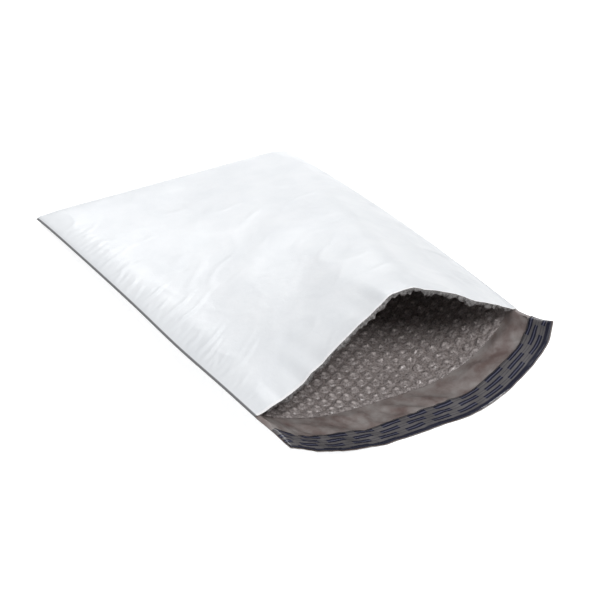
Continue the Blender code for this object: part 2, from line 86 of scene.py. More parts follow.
camera = new_object("camera", bpy.data.cameras.new("camera"))
camera.data.lens = CAMERA_LENS
camera.data.sensor_width = 36.0
aim(camera, LOOK_AT, CAMERA_AZIMUTH, CAMERA_HEIGHT, CAMERA_DISTANCE)
bpy.context.scene.camera = camera
bpy.context.scene.view_settings.view_transform = "Standard"

# %% Studio lamps
# name, azimuth and height in degrees, distance, width and length of the lamp, and watts.
# The front lamp is far and gives the main light. The others are near and weak: one
# behind, one on the left and a small one low behind the closed end.
LAMPS = [
    ("front_lamp", -3.0, 51.0, 4.0, 0.90, 1.50, 105.0),
    ("back_lamp", 151.0, 40.0, 1.4, 1.1, 0.8, 8.6),
    ("left_lamp", -84.0, 32.0, 2.5, 1.2, 0.9, 9.0),
    ("end_lamp", 168.0, 25.0, 0.6, 0.5, 0.3, 0.26),
]
WORLD_STRENGTH = 0.22
WORLD_COLOUR = (0.94, 0.97, 1.0, 1.0)

for name, azimuth, height, distance, width, length, watts in LAMPS:
    lamp = bpy.data.lights.new(name, "AREA")
    lamp.shape = "RECTANGLE"
    lamp.size, lamp.size_y = width, length
    lamp.energy = watts
    aim(new_object(name, lamp), Vector((0, 0, 0)), math.radians(azimuth),
        math.radians(height), distance)

world = bpy.data.worlds.new("studio")
bpy.context.scene.world = world
world.use_nodes = True
world_nodes = world.node_tree.nodes
world_light = world_nodes["Background"]
world_light.inputs["Color"].default_value = WORLD_COLOUR
world_light.inputs["Strength"].default_value = WORLD_STRENGTH
print("lamps", [lamp[0] for lamp in LAMPS])

# %% [markdown]
# ## Small helpers for node trees
# Every material here is made of nodes, and so are the bubbles. Two helpers keep the
# code short: one adds a node and fills its inputs, the other turns a plain number or
# another node's output into an input.


# %% Node helpers
def put(tree, kind, **values):
    """Add a node. Settings start with set_, and the other words fill inputs by name."""
    node = tree.nodes.new(kind)
    for key, value in values.items():
        if key.startswith("set_"):
            setattr(node, key[4:], value)
    for key, value in values.items():
        if not key.startswith("set_"):
            wire(tree, value, pick(node.inputs, key.replace("_", " ")))
    return node


def pick(sockets, name):
    """The socket in use that has a name, whatever its capitals."""
    return next(s for s in sockets if s.name.lower() == name.lower() and s.enabled)


def wire(tree, value, socket):
    if isinstance(value, bpy.types.NodeSocket):
        tree.links.new(value, socket)
    elif isinstance(value, bpy.types.Node):
        tree.links.new(next(s for s in value.outputs if s.enabled), socket)
    else:
        socket.default_value = value


def math_node(tree, operation, first, second=0.0, third=0.0):
    node = tree.nodes.new("ShaderNodeMath")
    node.operation = operation
    for value, socket in zip((first, second, third), node.inputs):
        wire(tree, value, socket)
    return node.outputs[0]


def new_group(name, kind, sockets):
    """A node group with named sockets: (name, IN or OUT, socket type, default)."""
    group = bpy.data.node_groups.new(name, kind)
    for label, way, socket_type, default in sockets:
        socket = group.interface.new_socket(label, in_out=way + "PUT", socket_type=socket_type)
        if default is not None:
            socket.default_value = default
    return group, group.nodes.new("NodeGroupInput"), group.nodes.new("NodeGroupOutput")


def new_material(name):
    material = bpy.data.materials.new(name)
    material.use_nodes = True
    return material, material.node_tree, material.node_tree.nodes["Principled BSDF"]


# %% Table
TABLE_SIZE = 6.0
TABLE_GLOW = 0.80
TABLE_COLOUR = (0.60, 0.60, 0.60, 1.0)
TABLE_ROUGHNESS = 0.7
WHITE = (1.0, 1.0, 1.0, 1.0)

table_mesh = bpy.data.meshes.new("table")
half = TABLE_SIZE / 2
table_mesh.from_pydata([(-half, -half, 0), (half, -half, 0), (half, half, 0), (-half, half, 0)],
                       [], [(0, 1, 2, 3)])
table = new_object("table", table_mesh)
table_paper, tree, paper = new_material("table_paper")
paper.inputs["Base Color"].default_value = TABLE_COLOUR
paper.inputs["Roughness"].default_value = TABLE_ROUGHNESS
paper.inputs["Emission Color"].default_value = WHITE
path = put(tree, "ShaderNodeLightPath")
seen = math_node(tree, "MAXIMUM", path.outputs["Is Camera Ray"], path.outputs["Is Glossy Ray"])
seen = math_node(tree, "MAXIMUM", seen, path.outputs["Is Transmission Ray"])
wire(tree, math_node(tree, "MULTIPLY", seen, TABLE_GLOW), paper.inputs["Emission Strength"])
table_mesh.materials.append(table_paper)

# The world shows white behind the table, while its light stays plain
tree = world.node_tree
path = put(tree, "ShaderNodeLightPath")
white = put(tree, "ShaderNodeBackground", Color=WHITE, Strength=1.0)
mixed = put(tree, "ShaderNodeMixShader", Fac=path.outputs["Is Camera Ray"])
wire(tree, world_light, mixed.inputs[1])
wire(tree, white, mixed.inputs[2])
wire(tree, mixed, world_nodes["World Output"].inputs["Surface"])

# %% [markdown]
# ## One bent surface for every layer
# A mailer is cut flat and then bends without stretching. So each point has a flat
# address: u across the pouch, and v along it from the folded end. One function turns a
# flat address into a place in space for the upper wall, and one for the lower wall. The
# film, the lining, the glue and the strip all use them, each at its own depth, so they
# bend together and never pass through each other. Most sizes are those of the solids.
# How the side seams open along the pouch, and how soon the padding rises beside them,
# differ a little, to follow the photograph.

# %% Sizes of the pouch
FLAT_WIDTH = 0.267
POCKET_LENGTH = 0.4064
LIP_LENGTH = 0.0410
MM = 0.001
SEAL_WIDTH = 0.004
FILM = 0.0004
LINING = 0.0040
GAP = 0.0003
HALF_CAVITY = 0.00025
NOSE_LENGTH = 0.014
EDGE_RISE = 0.023
LINING_SETBACK = 0.0117
LINING_EDGE = 0.007
STRIP_WIDTH = 0.0243
GLUE_INSET = 0.003
SEAM_ANGLE_LEFT = math.radians(32.1)
SEAM_ANGLE_RIGHT = math.radians(60.3)
LIP_ANGLE_LEFT = math.radians(29.3)
LIP_ANGLE_RIGHT = math.radians(74.2)
OPENING_RATE = 0.752
SEAM_RATE_LEFT = 0.9
SEAM_RATE_RIGHT = 0.87
SAG_SHARE = 0.08
SAG_PLACE = 0.27
SAG_WIDTH = 0.06
MOUTH_LEAN = 0.0143
LIP_LEAN = 0.0245
BELLY_HALF = 0.0246
BELLY_SHIFT = 0.0012
RIDGE_MOUTH = 0.1351
RIDGE_MOUTH_WIDTH = 0.0268
RIDGE_END_LEFT = 0.176
RIDGE_END_RIGHT = 0.010
RIDGE_TILT = math.radians(0.7)
CREASE_SOFTNESS = 0.009
FLARE_WIDTH = 0.0303
FLARE_LEFT = math.radians(13.1)
FLARE_RIGHT = math.radians(8.5)
FLARE_SOFTNESS = 0.022
FLANGE_TURN = math.radians(38)

FULL_BUILD = HALF_CAVITY + LINING + GAP
SEAL_PLANE = FULL_BUILD + FILM
INNER_HALF = FLAT_WIDTH / 2 - SEAL_WIDTH
INNER_SPAN = 2 * INNER_HALF
LIP_END = POCKET_LENGTH + LIP_LENGTH
LINING_END = POCKET_LENGTH - LINING_SETBACK
# Slopes are measured over this distance, and no angle is smaller than this
STEP = 2e-4
LEAST_ANGLE = 1e-6


# %% Cross-sections
def mix(start, end, share):
    return start + (end - start) * share


def ease(t):
    return np.sin(np.clip(t, 0.0, 1.0) * math.pi / 2)


def smooth(t):
    t = np.clip(t, 0.0, 1.0)
    return t * t * (3 - 2 * t)


def pocket_share(v):
    return np.clip(v / POCKET_LENGTH, 0.0, 1.0)


def open_share(v):
    return pocket_share(v) ** OPENING_RATE


def lip_share(v):
    return np.clip((v - POCKET_LENGTH) / LIP_LENGTH, 0.0, 1.0)


def seam_angles(v):
    """How far each side of the lower wall has curled up. The left one sags past its middle."""
    share = pocket_share(v)
    sag = 1 - SAG_SHARE * np.exp(-((v - SAG_PLACE) / SAG_WIDTH) ** 2)
    left = mix(SEAM_ANGLE_LEFT * share ** SEAM_RATE_LEFT * sag, LIP_ANGLE_LEFT, lip_share(v))
    right = mix(SEAM_ANGLE_RIGHT * share ** SEAM_RATE_RIGHT, LIP_ANGLE_RIGHT, lip_share(v))
    return left, right


def lower_section(across, v):
    """Lower wall: a flat belly, and an arc on each side that curls up to the seam."""
    left, right = seam_angles(v)
    offset = across - BELLY_SHIFT
    side = np.where(offset < 0, -1.0, 1.0)
    angle = np.maximum(np.where(offset < 0, left, right), LEAST_ANGLE)
    arc = INNER_HALF - side * BELLY_SHIFT - BELLY_HALF
    turn = angle * np.clip((np.abs(offset) - BELLY_HALF) / arc, 0.0, 1.0)
    radius = arc / angle
    reach = np.minimum(np.abs(offset), BELLY_HALF) + radius * np.sin(turn)
    lean = mix(MOUTH_LEAN * open_share(v), LIP_LEAN, lip_share(v))
    height = SEAL_PLANE + radius * (1 - np.cos(turn))
    return BELLY_SHIFT + side * reach + lean + 1j * height


def upper_runs(v):
    """Upper wall: its start, the places where it bends, and its direction between them."""
    start = lower_section(-INNER_HALF * np.ones_like(v), v)
    chord = lower_section(INNER_HALF * np.ones_like(v), v) - start
    share = pocket_share(v)
    first = mix(RIDGE_END_LEFT, RIDGE_MOUTH, share) - SEAL_WIDTH
    second = mix(INNER_SPAN - RIDGE_END_RIGHT, RIDGE_MOUTH + RIDGE_MOUTH_WIDTH - SEAL_WIDTH,
                 share)
    opened = open_share(v)
    flare_up = np.exp(-1j * FLARE_LEFT * opened)
    flare_down = np.exp(1j * FLARE_RIGHT * opened)
    slope_up = FLARE_WIDTH * flare_up + first - FLARE_WIDTH
    slope_down = FLARE_WIDTH * flare_down + INNER_SPAN - second - FLARE_WIDTH
    top = chord / np.abs(chord) * np.exp(1j * RIDGE_TILT * opened)
    base = chord - (second - first) * top
    rise, fall, span = np.abs(slope_up), np.abs(slope_down), np.abs(base)
    cosine = np.clip((rise ** 2 + span ** 2 - fall ** 2) / (2 * rise * span), -1.0, 1.0)
    climb = rise * base / span * np.exp(1j * np.arccos(cosine))
    up = climb / slope_up
    down = (base - climb) / slope_down
    bends = (FLARE_WIDTH, first, second, INNER_SPAN - FLARE_WIDTH)
    return start, bends, (up * flare_up, up, top, down, down * flare_down)


def soft_ramp(t, c):
    """A ramp whose corner is rounded over a width c each side, so a crease is soft."""
    return np.where(t < -c, 0.0, np.where(t > c, t, (t + c) ** 2 / (4 * c)))


def section(u, v, upper):
    """A place in the cross-section at v, as x and z."""
    start, bends, runs = upper_runs(v)
    if upper:
        run = np.clip(u - SEAL_WIDTH, 0.0, INNER_SPAN)
        place = start + run * runs[0]
        widths = (FLARE_SOFTNESS, CREASE_SOFTNESS, CREASE_SOFTNESS, FLARE_SOFTNESS)
        for bend, width, before, after in zip(bends, widths, runs, runs[1:]):
            place = place + soft_ramp(run - bend, width) * (after - before)
    else:
        place = lower_section(np.clip(u - FLAT_WIDTH / 2, -INNER_HALF, INNER_HALF), v)
    left_angle, right_angle = seam_angles(v)
    share = 1 - lip_share(v)
    left = -np.exp(-1j * left_angle) - runs[0] * share
    right = np.exp(1j * right_angle) + runs[-1] * share
    # The sealed edges are stiff and hang down a little, but run straight on into the lip
    turned = np.exp(1j * FLANGE_TURN * share)
    place = place + np.maximum(SEAL_WIDTH - u, 0.0) * left / np.abs(left) * turned
    place = place + np.maximum(u - FLAT_WIDTH + SEAL_WIDTH, 0.0) * right / np.abs(right) / turned
    return place.real, place.imag


# %% Flat address to place in space
def bent(u, v, upper):
    """The bent surface between the walls. Lines along the pouch keep their length."""
    pocket = np.minimum(v, POCKET_LENGTH)
    x, z = section(u, pocket, upper)
    drift = x - (u - FLAT_WIDTH / 2)
    run = pocket ** 2 - (z - SEAL_PLANE) ** 2 - drift ** 2
    y = -np.sqrt(np.maximum(run, 0.0))
    if not upper:
        lip_x, lip_z = section(u, v, False)
        run = np.maximum(v - POCKET_LENGTH, 0.0) ** 2 - (lip_x - x) ** 2 - (lip_z - z) ** 2
        y = y - np.sqrt(np.maximum(run, 0.0))
        x, z = lip_x, lip_z
    return np.stack([x, y, z], axis=-1)


def outward(u, v, upper):
    """The direction out of the pouch, across the bent surface."""
    last = POCKET_LENGTH if upper else LIP_END
    along_u = bent(u + STEP, v, upper) - bent(u - STEP, v, upper)
    before = np.clip(v - STEP, STEP / 10, last)
    after = np.clip(v + STEP, STEP / 10, last)
    normal = np.cross(along_u, bent(u, after, upper) - bent(u, before, upper))
    normal /= np.linalg.norm(normal, axis=-1, keepdims=True)
    return -normal if upper else normal


def from_side(u):
    return np.minimum(u, FLAT_WIDTH - u)


def build_up(u, v):
    """Depth of the film's inner face: nothing at the seals, the whole lining inside."""
    side = mix(ease((from_side(u) - SEAL_WIDTH) / EDGE_RISE), 1.0, lip_share(v))
    nose = np.clip(v / NOSE_LENGTH, 0.0, 1.0)
    return side * FULL_BUILD * np.sqrt(nose * (2 - nose))


CORNER_CUT = 0.0035
CORNER_WIDTH = 0.013
CORNER_FADE = 0.03


def rounded(u, v):
    """The upper mouth edge curves back at the seams, and takes the rows behind it along."""
    cut = CORNER_CUT * np.clip(1 - from_side(u) / CORNER_WIDTH, 0.0, 1.0) ** 2
    return v - cut * np.clip(1 - (POCKET_LENGTH - v) / CORNER_FADE, 0.0, 1.0)


def raised(u, v, upper, depth, inset=0.0):
    """Points at a depth outside the bent surface, drawn in from the folded end's nose."""
    v = rounded(u, v) if upper else v
    place = bent(u, v, upper) + outward(u, v, upper) * depth[..., None]
    place[..., 1] -= inset * np.clip(1 - v / NOSE_LENGTH, 0.0, 1.0)
    return place + ORIGIN


# The solids stand over the middle of their footprint, and the same shift is used here.
# It is found from how far the right seam reaches
ORIGIN = np.zeros(3)
NOSE_BUILD = 0.0014
film_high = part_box("outer_film")[1]
seam_v = np.linspace(0, LIP_END, 400)
seam_u = np.full_like(seam_v, FLAT_WIDTH)
seam_reach = raised(seam_u, seam_v, False, np.full_like(seam_v, FILM))[:, 0].max()
ORIGIN = np.array([film_high[0] - seam_reach, film_high[1] - NOSE_BUILD, 0.0])
print("origin shift", ORIGIN.round(5))

# %% [markdown]
# ## Creases, gathers and swells of the film
# The smooth bent surface is only the start. The hot bar that sealed the sides shrank the
# film there, so short gathers run in from each seam. Wider swells come from handling. All
# of them are heights over the smooth surface, summed in one function of the flat address.
# The film, the glue and the strip add the same heights, so they stay on each other.

# %% Gathers along the seams
# Distance from the folded end, length inward, slant towards the folded end, height and
# half width in millimetres, placed where the photograph shows a clear fold
LONG_GATHERS_LEFT = [
    (118, 20, 5, 0.7, 2.4), (146, 26, 8, 0.8, 3.0), (172, 16, 3, 1.2, 3.0),
    (199, 27, 4, 1.5, 3.6), (214, 15, 3, 1.0, 2.8), (234, 40, 10, 1.5, 3.2),
    (250, 50, 15, 1.4, 3.4), (263, 18, 5, 0.8, 2.4), (283, 22, 6, 1.0, 2.6),
    (297, 34, 9, 1.4, 3.0), (310, 26, 10, 1.2, 2.6), (327, 20, 5, 0.8, 2.6),
    (344, 44, 14, 1.0, 4.0), (362, 18, 3, 0.7, 2.6),
]
LONG_GATHERS_RIGHT = [
    (95, 14, 4, 0.6, 2.4), (142, 18, 5, 0.8, 2.6), (186, 14, 3, 0.7, 2.2),
    (224, 22, 6, 1.0, 2.4), (262, 14, 3, 0.7, 2.2), (301, 22, 6, 1.1, 2.6),
    (324, 16, 4, 0.8, 2.2), (352, 18, 4, 0.7, 2.4),
]
# Shares of those heights and half widths, at which the folds look as soft as the real ones
LONG_HEIGHT = 0.55
LONG_HALF = 0.6
# The short gathers between them start and stop this far from the folded end and the mouth
SHORT_START = 0.045
SHORT_STOP = 0.012


def gather_list(seed):
    """Every gather as (side, v, length, slant, height, half width), in metres."""
    rng = random.Random(seed)
    folds = []
    for side, long_ones in ((1, LONG_GATHERS_LEFT), (-1, LONG_GATHERS_RIGHT)):
        for v, length, slant, height, half in long_ones:
            folds.append((side, v * MM, length * MM, slant * MM,
                          LONG_HEIGHT * height * MM, LONG_HALF * half * MM))
        v = SHORT_START
        while v < POCKET_LENGTH - SHORT_STOP:
            strength = 0.35 + 0.65 * math.sin(math.pi * v / POCKET_LENGTH)
            folds.append((side, v, rng.uniform(8, 22) * MM, rng.uniform(1, 6) * MM,
                          rng.uniform(0.3, 0.9) * strength * MM, rng.uniform(1.3, 2.2) * MM))
            v += rng.uniform(5, 10) * MM
    return folds


def gathers_height(u, v, folds):
    """Each gather is a bowed ridge with a shallow furrow beside it, and fades inward."""
    height = np.zeros_like(u)
    for side, start, length, slant, tall, half in folds:
        inward = (u if side > 0 else FLAT_WIDTH - u) - SEAL_WIDTH
        close = np.abs(v - start) < slant + 6 * half + length / 2
        near = (inward > 0) & (inward < 1.6 * length) & close
        run = inward[near] / length
        bow = 0.12 * length * np.sin(np.clip(run, 0, 1) * math.pi)
        off = (v[near] - start + slant * run - bow) / half
        body = np.exp(-off ** 2) - 0.45 * np.exp(-((off - 1.9) / 1.5) ** 2)
        height[near] += tall * body * smooth(run / 0.22) * smooth(1.5 - run)
    return height


# %% Swells, crimps and the lip's wrinkles
def cloud(u, v, size, seed, turn=0.0, stretch=1.0):
    """Smooth noise from about -0.7 to 0.7, whose spots are size wide and stretched."""
    c, s = math.cos(turn), math.sin(turn)
    across = (u * c + v * s) / size
    along = (v * c - u * s) / (size * stretch)
    flat = zip(across.ravel(), along.ravel())
    made = [noise.noise(Vector((a, b, seed * 7.31))) for a, b in flat]
    return np.array(made).reshape(u.shape)


def inside_share(u, v, width):
    """Nothing at the seams and the folded end, one from a given width inward."""
    return smooth((from_side(u) - SEAL_WIDTH) / width) * smooth(v / width)


# How far the mouth's rim stands over the smooth form, in millimetres at places across
RIM_PLACES = MM * np.array([0, 15, 25, 46, 56, 67, 77, 87, 110, 121, 132, 137, 141, 146, 151,
                            160, 168, 177, 198, 209, 220, 230, 250, 262, 267])
RIM_LIFTS = MM * np.array([0, -1.5, -3.6, -3.2, -0.6, -1.2, 0.3, 0.6, 1.2, 0.2, 0.4, 2.2, 3.6,
                           3.2, 3.0, 2.3, 0.6, 2.0, 2.6, 1.3, 0.3, 0.8, -1.2, -0.6, 0])
RIM_REACH = 0.07
HOLLOW_DEPTH = 1.2 * MM
HOLLOW_PLACE = 0.020
HOLLOW_WIDTH = 0.013
DENT_DEPTH = 0.5 * MM
DENT_PLACE = (0.0565, 0.186)
DENT_SIZE = (0.006, 0.0035)


def swell(u, v, upper):
    """Wide soft heights that the film and its lining share."""
    seed = 3 if upper else 11
    height = (1.1 * MM * cloud(u, v, 0.055, seed, 0.5, 1.6)
              + 0.5 * MM * cloud(u, v, 0.026, seed + 1, 0.9, 1.7))
    behind = POCKET_LENGTH - v
    if upper:
        # The film hollows a little behind the mouth's rim, and there is a small dent
        left_slope = smooth((u - 0.035) / 0.03) * smooth((0.142 - u) / 0.02)
        hollow = np.exp(-((behind - HOLLOW_PLACE) / HOLLOW_WIDTH) ** 2)
        dent = sum(((place - middle) / size) ** 2
                   for place, middle, size in zip((u, v), DENT_PLACE, DENT_SIZE))
        height -= HOLLOW_DEPTH * left_slope * hollow + DENT_DEPTH * np.exp(-dent)
    height = np.where(behind < 0, 0.0, height) * inside_share(u, v, 0.03)
    if upper:
        height += np.interp(u, RIM_PLACES, RIM_LIFTS) * smooth(1 - behind / RIM_REACH)
    return height


def clearance(u, v):
    """How far the smooth lower wall stands over the table."""
    return np.maximum(section(u, v, False)[1] - SEAL_PLANE, 0.0)


# Under the strip the wrinkles keep this share, and on average the bare film lies this low
STRIP_SHARE = 0.3
LIP_SINK = 0.7 * MM
BOW_HEIGHT = 4.0 * MM
BOW_PLACE = 0.248
BOW_WIDTH = 0.020


def lip_wrinkles(u, v):
    """Slanting soft folds of the bare film between the lining's edge and the free edge."""
    onset = smooth((v - LINING_END + 0.002) / 0.012)
    height = (3.2 * MM * cloud(u, v, 0.011, 21, -0.85, 3.4)
              + 1.8 * MM * cloud(u, v, 0.0055, 22, -0.6, 3.0))
    under_strip = mix(1.0, STRIP_SHARE, smooth((v - LIP_END + STRIP_WIDTH + 0.003) / 0.006))
    sides = smooth(from_side(u) / 0.012)
    # The free corner on the right bows outward
    bow = BOW_HEIGHT * np.exp(-((u - BOW_PLACE) / BOW_WIDTH) ** 2) * lip_share(v) ** 1.5
    return (height - LIP_SINK) * onset * under_strip * sides + bow


def crinkles(u, v, seed):
    """Sparse narrow ridges, where either of two wide noises passes through zero."""
    ridge = np.clip(1 - 7.0 * np.abs(cloud(u, v, 0.030, seed, 0.7, 1.5)), 0.0, 1.0)
    other = np.clip(1 - 6.0 * np.abs(cloud(u, v, 0.019, seed + 1, -0.4, 1.8)), 0.0, 1.0)
    sparse = smooth(0.5 + 2.0 * cloud(u, v, 0.060, seed + 2))
    return (0.32 * ridge * sparse + 0.24 * other * (1 - sparse)) * MM * inside_share(u, v, 0.012)


FURROW_DEPTH = 0.25 * MM
CRIMP_HEIGHT = 0.25 * MM
CRIMP_REACH = 0.007
CURL_HEIGHT = 1.0 * MM
CURL_REACH = 0.0035


def film_height(u, v, upper, folds):
    """Everything that the outer film does over its smooth form."""
    height = swell(u, v, upper) + np.maximum(gathers_height(u, v, folds), -FURROW_DEPTH)
    crimp = CRIMP_HEIGHT * cloud(u * 0.2, v, 0.0045, 31) * smooth(1 - from_side(u) / CRIMP_REACH)
    if not upper:
        return np.minimum(height + lip_wrinkles(u, v) - crimp, clearance(u, v))
    # The cut edge of the mouth curls up by a hair
    curl = CURL_HEIGHT * smooth(1 - (POCKET_LENGTH - v) / CURL_REACH)
    return height + crinkles(u, v, 61) + curl + crimp


# %% [markdown]
# ## The outer film
# The real film is one long sheet, folded once at the far end and sealed to itself along
# both sides. It is built the same way: one grid of flat addresses runs from the mouth's
# upper edge back to the fold and forward again to the lip's free edge. A second grid just
# inside it makes the other face, and a strip round the border closes the sheet. The faces
# of the outer grid get the white finish, and those of the inner grid the taupe one. Only
# at the mouth's cut edge the border and the first inner row are white too.


# %% Grids and closed sheets
NOSE_SHARES = (0.0, 0.02, 0.08, 0.2, 0.4, 0.7)


def stations(start, end, coarse, fine=None, reach=0.0):
    """Places from start to end, closer together within reach of both ends."""
    fine = fine or coarse
    places = [start]
    while places[-1] < end:
        near = min(places[-1] - start, end - places[-1])
        places.append(places[-1] + (fine if near < reach else coarse))
    places = np.array(places)
    return start + (places - start) * (end - start) / (places[-1] - start)


def folded_rows(upper_end, lower_end, upper_step, lower_step, mouth_step, reach):
    """Rows of a folded sheet as (v, upper), from the upper mouth round the fold."""
    upper, lower = (
        np.concatenate([[NOSE_LENGTH * share for share in NOSE_SHARES],
                        np.arange(NOSE_LENGTH, end - reach, step),
                        stations(end - reach, end, mouth_step)])
        for end, step in ((upper_end, upper_step), (lower_end, lower_step)))
    # Both walls have the row on the fold, and it is used once
    v = np.concatenate([upper[::-1], lower[1:]])
    return v, np.arange(len(v)) < len(upper)


def grid_faces(rows, columns, start=0, flip=False):
    index = start + np.arange(rows * columns).reshape(rows, columns)
    a, b, c, d = index[:-1, :-1], index[:-1, 1:], index[1:, 1:], index[1:, :-1]
    order = (a, d, c, b) if flip else (a, b, c, d)
    return np.stack([x.ravel() for x in order], axis=1)


def border_faces(rows, columns):
    """Faces that join the borders of two equal grids, the second numbered on from the first."""
    index = np.arange(rows * columns).reshape(rows, columns)
    loop = np.concatenate([index[0, :], index[1:, -1], index[-1, -2::-1], index[-2:0:-1, 0]])
    after = np.roll(loop, -1)
    total = rows * columns
    return np.stack([loop, loop + total, after + total, after], axis=1)


def build_mesh(name, points, faces, uv=None):
    """A mesh from arrays: points, faces of four, UV per point."""
    mesh = bpy.data.meshes.new(name)
    mesh.from_pydata(points.reshape(-1, 3).tolist(), [], faces.tolist())
    if uv is not None:
        layer = mesh.uv_layers.new(name="flat")
        corner = np.zeros(len(mesh.loops), dtype=int)
        mesh.loops.foreach_get("vertex_index", corner)
        layer.data.foreach_set("uv", uv.reshape(-1, 2)[corner].ravel())
    mesh.shade_smooth()
    mesh.update()
    return mesh


def closed_sheet(name, outer, inner, address=None):
    """A mesh from two equal grids of points, joined round their border."""
    rows, columns = outer.shape[:2]
    faces = np.concatenate([grid_faces(rows, columns),
                            grid_faces(rows, columns, rows * columns, True),
                            border_faces(rows, columns)])
    points = np.concatenate([outer.reshape(-1, 3), inner.reshape(-1, 3)])
    uv = None if address is None else np.concatenate([address, address])
    return build_mesh(name, points, faces, uv)


def triangles(mesh):
    return sum(len(face.vertices) - 2 for face in mesh.polygons)


def sheet_points(u, v, is_upper, depth_of, thickness):
    """Outer and inner points of a folded sheet. depth_of gives the outer face's depth."""
    grid_u, grid_v = np.meshgrid(u, v)
    outer = np.zeros((*grid_u.shape, 3))
    inner = np.zeros_like(outer)
    for upper in (True, False):
        rows = is_upper == upper
        a, b = grid_u[rows], grid_v[rows]
        depth = depth_of(a, b, upper)
        outer[rows] = raised(a, b, upper, depth)
        inner[rows] = raised(a, b, upper, np.maximum(depth - thickness, 0.0), thickness)
    return outer, inner, np.stack([grid_u, grid_v], axis=-1)


# %% Cut and bend the film
FILM_SKIN = 0.00025
GATHER_SEED = {True: 5, False: 8}
folds_of = {upper: gather_list(GATHER_SEED[upper]) for upper in (True, False)}


def film_depth(u, v, upper):
    """Depth of the film's outer face. At the seals the two walls nearly touch."""
    return build_up(u, v) + FILM + film_height(u, v, upper, folds_of[upper])


film_u = stations(0.0, FLAT_WIDTH, coarse=0.0028, fine=0.0016, reach=0.036)
film_v, film_upper = folded_rows(POCKET_LENGTH, LIP_END, upper_step=0.0018, lower_step=0.0040,
                                 mouth_step=0.0016, reach=0.045)
outer, inner, address = sheet_points(film_u, film_v, film_upper, film_depth, FILM_SKIN)
film_mesh = closed_sheet("film_pouch", outer, inner, address)
film_pouch = new_object("film_pouch", film_mesh)
print("film", outer.shape[:2], "points a face,", triangles(film_mesh), "triangles")

# %% [markdown]
# ## The bubble lining
# Bubble film is a flat web with a second film drawn up into domes on it, in close-packed
# rows. The web is another folded sheet, a little inside the film. The domes repeat about
# sixteen hundred times, which is work for Geometry Nodes: a small cloud of points holds
# the lattice, with each bubble's direction, height and slackness, and the tree sets one
# dome on each point, then dents the slack ones with noise. Domes deep in the pocket, where
# little is seen, have fewer faces.

# %% Web of the lining
WEB_SKIN = 0.0002
WEB_SIDE = SEAL_WIDTH + 0.0003
MOUTH_INSET = 0.0004


def web_depth(u, v, upper):
    rise = swell(u, v, upper) if upper else np.minimum(swell(u, v, False), clearance(u, v))
    return np.maximum(build_up(u, v) - GAP, WEB_SKIN) + rise


web_u = stations(WEB_SIDE, FLAT_WIDTH - WEB_SIDE, coarse=0.0056, fine=0.0028, reach=0.02)
web_v, web_upper = folded_rows(POCKET_LENGTH - MOUTH_INSET, LINING_END, upper_step=0.008,
                               lower_step=0.008, mouth_step=0.004, reach=0.03)
outer, inner, _ = sheet_points(web_u, web_v, web_upper, web_depth, WEB_SKIN)
web_mesh = closed_sheet("web", outer, inner)
print("web", triangles(web_mesh), "triangles")

# %% Lattice of bubbles
BUBBLE_PITCH = 0.0118
BUBBLE_RADIUS = 0.0053
COLUMN_STEP = BUBBLE_PITCH * math.sqrt(3) / 2
SIDE_COLUMNS = 12
NEAR_MOUTH = 0.125
LEAST_ROOM = 0.0004
# A bubble's height as a share of its room, and how much of it a slack one may lose
DOME_SHARE = 0.66
SLACK_LOSS = 0.28
UPPER_SLACK = 0.5
LEFT_SLACK = 0.25
RIGHT_SLACK = 0.95
MOST_SLACK = 1.3


def lattice(upper):
    """Flat addresses of every whole bubble of a wall. Rows run along the pouch."""
    end = POCKET_LENGTH if upper else LINING_END
    places = []
    for column in range(-SIDE_COLUMNS, SIDE_COLUMNS + 1):
        first = end - BUBBLE_PITCH * (0.5 if column % 2 else 1.0)
        for v in np.arange(first, NOSE_LENGTH + BUBBLE_RADIUS, -BUBBLE_PITCH):
            places.append((FLAT_WIDTH / 2 + column * COLUMN_STEP, v))
    return np.array(places)


def bubble_seat(u, v, upper):
    """Centre and inward direction of each bubble's base, from four points of its rim."""
    def web(a, b):
        return raised(a, b, upper, web_depth(a, b, upper) - WEB_SKIN)
    left, right = web(u - BUBBLE_RADIUS, v), web(u + BUBBLE_RADIUS, v)
    back, front = web(u, v - BUBBLE_RADIUS), web(u, v + BUBBLE_RADIUS)
    inward = np.cross(right - left, front - back)
    inward /= np.linalg.norm(inward, axis=1, keepdims=True)
    return (left + right + back + front) / 4, inward if upper else -inward


def bubble_room(u, v):
    """Height from the web up to the middle of the pocket."""
    return np.maximum(build_up(u, v) - GAP - WEB_SKIN - HALF_CAVITY, LEAST_ROOM)


def slackness(u, v, upper, rng):
    """How crumpled a bubble is: little on the left, more towards the right."""
    right = smooth((u - 0.09) / 0.09)
    base = np.full_like(u, UPPER_SLACK) if upper else LEFT_SLACK + RIGHT_SLACK * right
    return np.clip(base * rng.uniform(0.6, 1.4, len(u)), 0.0, MOST_SLACK)


